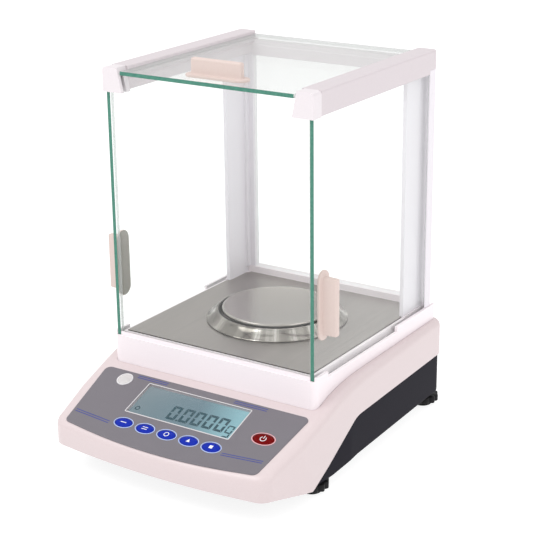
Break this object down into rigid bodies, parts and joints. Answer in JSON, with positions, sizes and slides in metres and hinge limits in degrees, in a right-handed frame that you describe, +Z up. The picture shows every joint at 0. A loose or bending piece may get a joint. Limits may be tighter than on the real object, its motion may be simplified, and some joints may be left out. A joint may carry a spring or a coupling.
{
  "type": "analytical balance",
  "caption": "Laboratory analytical balance with a glass draft shield, sliding doors, round weighing pan, sloping control panel and levelling feet.",
  "frame": {"origin": "middle of the footprint on the table plane", "axes": "+Z up, -Y towards the user, +X to the right as the user sees it"},
  "size_m": [0.212, 0.2826, 0.3172],
  "materials": {
    "white_plastic": "semi-gloss very light pinkish white enamel",
    "dark_plastic": "fine-grained charcoal blue plastic",
    "post_grey": "cool light grey enamel",
    "panel_grey": "satin grey printed film",
    "screw_steel": "plain steel",
    "window": "clear window",
    "display": "lit display module",
    "board_green": "circuit board",
    "key_blue": "royal blue cap",
    "key_red": "deep red cap",
    "cup_white": "white cup",
    "level_fluid": "tinted level fluid",
    "floor_steel": "brushed stainless sheet",
    "pan_steel": "fine-turned stainless steel",
    "cell_aluminium": "machined aluminium",
    "shield_glass": "clear float glass with green edges",
    "handle_beige": "pinkish beige moulding",
    "pad_rubber": "black rubber",
    "wheel_black": "black moulding on a steel stud",
    "transformer_iron": "laminated core and wound coil",
    "inlet_black": "black moulding",
    "port_metal": "nickel plated shell",
    "guide_bronze": "spring bronze sheet",
    "coil_copper": "enamelled copper winding",
    "magnet_iron": "soft iron"
  },
  "bodies": {
    "base": {"upper_housing": "white_plastic", "lower_housing": "dark_plastic", "housing_screws": "screw_steel", "keypad_overlay": "panel_grey", "lcd_window": "window", "lcd_module": "display", "keypad_board": "board_green", "level_cup": "cup_white", "level_lens": "window", "level_bubble": "level_fluid", "shield_tray": "white_plastic", "floor_plate": "floor_steel", "shield_screws": "screw_steel", "left_top_rail": "white_plastic", "right_top_rail": "white_plastic", "front_left_cap": "white_plastic", "front_right_cap": "white_plastic", "rear_top_beam": "white_plastic", "rear_left_post": "post_grey", "rear_right_post": "post_grey", "left_guide_strip": "post_grey", "right_guide_strip": "post_grey", "rear_glass": "shield_glass", "front_glass": "shield_glass", "main_board": "board_green", "power_transformer": "transformer_iron", "power_inlet": "inlet_black", "serial_port": "port_metal", "cell_base": "cell_aluminium", "magnet_pot": "magnet_iron", "magnet_core": "magnet_iron", "position_sensor": "inlet_black"},
    "left_door": {"left_door_glass": "shield_glass", "left_door_handle": "handle_beige"},
    "right_door": {"right_door_glass": "shield_glass", "right_door_handle": "handle_beige"},
    "top_door": {"top_door_glass": "shield_glass", "top_door_handle": "handle_beige"},
    "weigh_hanger": {"hanger": "cell_aluminium", "pan_support": "cell_aluminium"},
    "pan": {"pan": "pan_steel"},
    "draft_ring": {"draft_ring": "pan_steel"},
    "lever": {"lever_beam": "cell_aluminium", "force_coil": "coil_copper"},
    "upper_guide": {"upper_guide": "guide_bronze"},
    "lower_guide": {"lower_guide": "guide_bronze"},
    "key_1": {"key_1": "key_blue"},
    "key_2": {"key_2": "key_blue"},
    "key_3": {"key_3": "key_blue"},
    "key_4": {"key_4": "key_blue"},
    "key_5": {"key_5": "key_blue"},
    "power_key": {"power_key": "key_red"},
    "foot_pad_front_left": {"foot_pad_front_left": "pad_rubber"},
    "foot_wheel_front_left": {"foot_wheel_front_left": "wheel_black"},
    "foot_pad_front_right": {"foot_pad_front_right": "pad_rubber"},
    "foot_wheel_front_right": {"foot_wheel_front_right": "wheel_black"},
    "foot_pad_rear_left": {"foot_pad_rear_left": "pad_rubber"},
    "foot_wheel_rear_left": {"foot_wheel_rear_left": "wheel_black"},
    "foot_pad_rear_right": {"foot_pad_rear_right": "pad_rubber"},
    "foot_wheel_rear_right": {"foot_wheel_rear_right": "wheel_black"}
  },
  "joints": [
    {"name": "left_door_slide", "type": "slide", "parent": "base", "child": "left_door", "axis": [0, 1, 0], "range_m": [0, 0.145]},
    {"name": "right_door_slide", "type": "slide", "parent": "base", "child": "right_door", "axis": [0, 1, 0], "range_m": [0, 0.145]},
    {"name": "top_door_slide", "type": "slide", "parent": "base", "child": "top_door", "axis": [0, 1, 0], "range_m": [0, 0.145]},
    {"name": "key_1_press", "type": "slide", "parent": "base", "child": "key_1", "axis": [0, 0.3206, -0.9472], "range_m": [0, 0.0005], "stiffness_N_per_m": 800},
    {"name": "key_2_press", "type": "slide", "parent": "base", "child": "key_2", "axis": [0, 0.3206, -0.9472], "range_m": [0, 0.0005], "stiffness_N_per_m": 800},
    {"name": "key_3_press", "type": "slide", "parent": "base", "child": "key_3", "axis": [0, 0.3206, -0.9472], "range_m": [0, 0.0005], "stiffness_N_per_m": 800},
    {"name": "key_4_press", "type": "slide", "parent": "base", "child": "key_4", "axis": [0, 0.3206, -0.9472], "range_m": [0, 0.0005], "stiffness_N_per_m": 800},
    {"name": "key_5_press", "type": "slide", "parent": "base", "child": "key_5", "axis": [0, 0.3206, -0.9472], "range_m": [0, 0.0005], "stiffness_N_per_m": 800},
    {"name": "power_key_press", "type": "slide", "parent": "base", "child": "power_key", "axis": [0, 0.3206, -0.9472], "range_m": [0, 0.0005], "stiffness_N_per_m": 800},
    {"name": "foot_lift_front_left", "type": "slide", "parent": "base", "child": "foot_pad_front_left", "axis": [0, 0, -1], "range_m": [0, 0.008]},
    {"name": "foot_turn_front_left", "type": "hinge", "parent": "foot_pad_front_left", "child": "foot_wheel_front_left", "pos_m": [-0.091, -0.06, 0.006], "axis": [0, 0, -1], "range_deg": [0, 2304]},
    {"name": "foot_lift_front_right", "type": "slide", "parent": "base", "child": "foot_pad_front_right", "axis": [0, 0, -1], "range_m": [0, 0.008]},
    {"name": "foot_turn_front_right", "type": "hinge", "parent": "foot_pad_front_right", "child": "foot_wheel_front_right", "pos_m": [0.091, -0.06, 0.006], "axis": [0, 0, -1], "range_deg": [0, 2304]},
    {"name": "foot_lift_rear_left", "type": "slide", "parent": "base", "child": "foot_pad_rear_left", "axis": [0, 0, -1], "range_m": [0, 0.008]},
    {"name": "foot_turn_rear_left", "type": "hinge", "parent": "foot_pad_rear_left", "child": "foot_wheel_rear_left", "pos_m": [-0.0865, 0.1275, 0.006], "axis": [0, 0, -1], "range_deg": [0, 2304]},
    {"name": "foot_lift_rear_right", "type": "slide", "parent": "base", "child": "foot_pad_rear_right", "axis": [0, 0, -1], "range_m": [0, 0.008]},
    {"name": "foot_turn_rear_right", "type": "hinge", "parent": "foot_pad_rear_right", "child": "foot_wheel_rear_right", "pos_m": [0.0865, 0.1275, 0.006], "axis": [0, 0, -1], "range_deg": [0, 2304]},
    {"name": "hanger_travel", "type": "slide", "parent": "base", "child": "weigh_hanger", "axis": [0, 0, 1], "range_m": [-0.0003, 0.0003], "stiffness_N_per_m": 20000},
    {"name": "pan_lift", "type": "slide", "parent": "weigh_hanger", "child": "pan", "axis": [0, 0, 1], "range_m": [0, 0.06]},
    {"name": "ring_lift", "type": "slide", "parent": "base", "child": "draft_ring", "axis": [0, 0, 1], "range_m": [0, 0.06]},
    {"name": "lever_tilt", "type": "hinge", "parent": "base", "child": "lever", "pos_m": [0, 0.0484, 0.042], "axis": [1, 0, 0], "range_deg": [-1.3, 1.3]},
    {"name": "upper_guide_flex", "type": "hinge", "parent": "base", "child": "upper_guide", "pos_m": [0, 0.0776, 0.0526], "axis": [1, 0, 0], "range_deg": [-0.5, 0.5]},
    {"name": "lower_guide_flex", "type": "hinge", "parent": "base", "child": "lower_guide", "pos_m": [0, 0.0776, 0.0306], "axis": [1, 0, 0], "range_deg": [-0.5, 0.5]}
  ],
  "couplings": [
    {"joint": "foot_turn_front_left", "follows": "foot_lift_front_left", "rad_per_m": 5026.5},
    {"joint": "foot_turn_front_right", "follows": "foot_lift_front_right", "rad_per_m": 5026.5},
    {"joint": "foot_turn_rear_left", "follows": "foot_lift_rear_left", "rad_per_m": 5026.5},
    {"joint": "foot_turn_rear_right", "follows": "foot_lift_rear_right", "rad_per_m": 5026.5},
    {"joint": "lever_tilt", "follows": "hanger_travel", "rad_per_m": -71.43},
    {"joint": "upper_guide_flex", "follows": "hanger_travel", "rad_per_m": -23.15},
    {"joint": "lower_guide_flex", "follows": "hanger_travel", "rad_per_m": -23.15}
  ]
}
